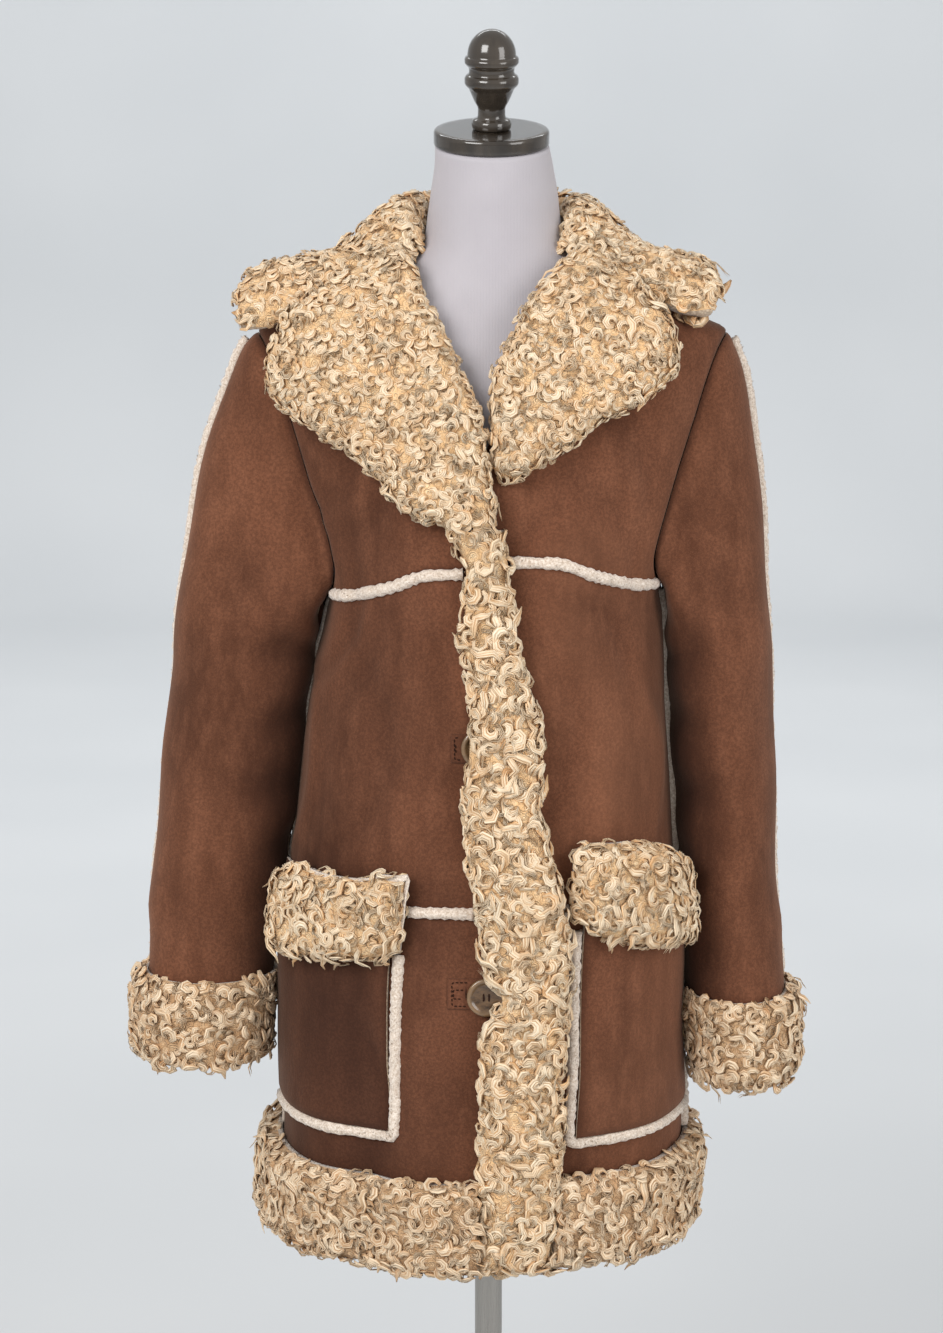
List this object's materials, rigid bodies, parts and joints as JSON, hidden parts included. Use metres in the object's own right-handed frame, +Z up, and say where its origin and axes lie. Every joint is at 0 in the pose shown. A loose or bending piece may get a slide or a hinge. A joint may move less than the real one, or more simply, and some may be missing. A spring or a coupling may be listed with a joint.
{
  "type": "shearling coat on a limbless dress form",
  "caption": "Mid-length suede shearling coat with fur collar, lapels, front edge, cuffs, pockets and hem, worn on a limbless dress form with a turned finial, pole and round base.",
  "frame": {"origin": "centre of the round base's underside, on the pole's axis", "axes": "+Z up along the pole; the coat's front faces -Y; +X towards the wearer's left"},
  "size_m": [0.5852, 0.3497, 1.5817],
  "materials": {
    "suede": "brown suede, fine nap, with short wool on its inner side",
    "long_wool": "curly honey-coloured lambskin",
    "clipped_wool": "clipped pale wool at the exposed seam edges",
    "jersey": "smooth off-white knitted cover",
    "dark_wood": "dark polished lacquer",
    "steel": "satin",
    "horn": "polished brown horn with a paler rim"
  },
  "bodies": {
    "root": {"yoke_front_right": "suede", "yoke_front_left": "suede", "body_front_right": "suede", "body_front_left": "suede", "skirt_front_right": "suede", "skirt_front_left": "suede", "yoke_back": "suede", "body_back": "suede", "skirt_back": "suede", "sleeve_right_front": "suede", "sleeve_right_back": "suede", "sleeve_left_front": "suede", "sleeve_left_back": "suede", "pocket_right": "suede", "pocket_left": "suede", "collar_stand": "suede", "collar": "long_wool", "lapel_right": "long_wool", "lapel_left": "long_wool", "front_edge_fur": "long_wool", "hem_fur_right": "long_wool", "hem_fur_left": "long_wool", "hem_fur_back": "long_wool", "pocket_fur_right": "long_wool", "pocket_fur_left": "long_wool", "cuff_right": "long_wool", "cuff_left": "long_wool", "chest_trim_right": "clipped_wool", "chest_trim_left": "clipped_wool", "chest_trim_back": "clipped_wool", "hip_trim_right": "clipped_wool", "hip_trim_left": "clipped_wool", "hip_trim_back": "clipped_wool", "side_trim_right": "clipped_wool", "side_trim_left": "clipped_wool", "sleeve_trim_right": "clipped_wool", "sleeve_trim_left": "clipped_wool", "pocket_trim_right": "clipped_wool", "pocket_trim_left": "clipped_wool", "button_upper": "horn", "button_lower": "horn", "form_torso": "jersey", "neck_cap": "dark_wood", "finial": "dark_wood", "pole": "steel", "base_plate": "steel"}
  },
  "joints": []
}
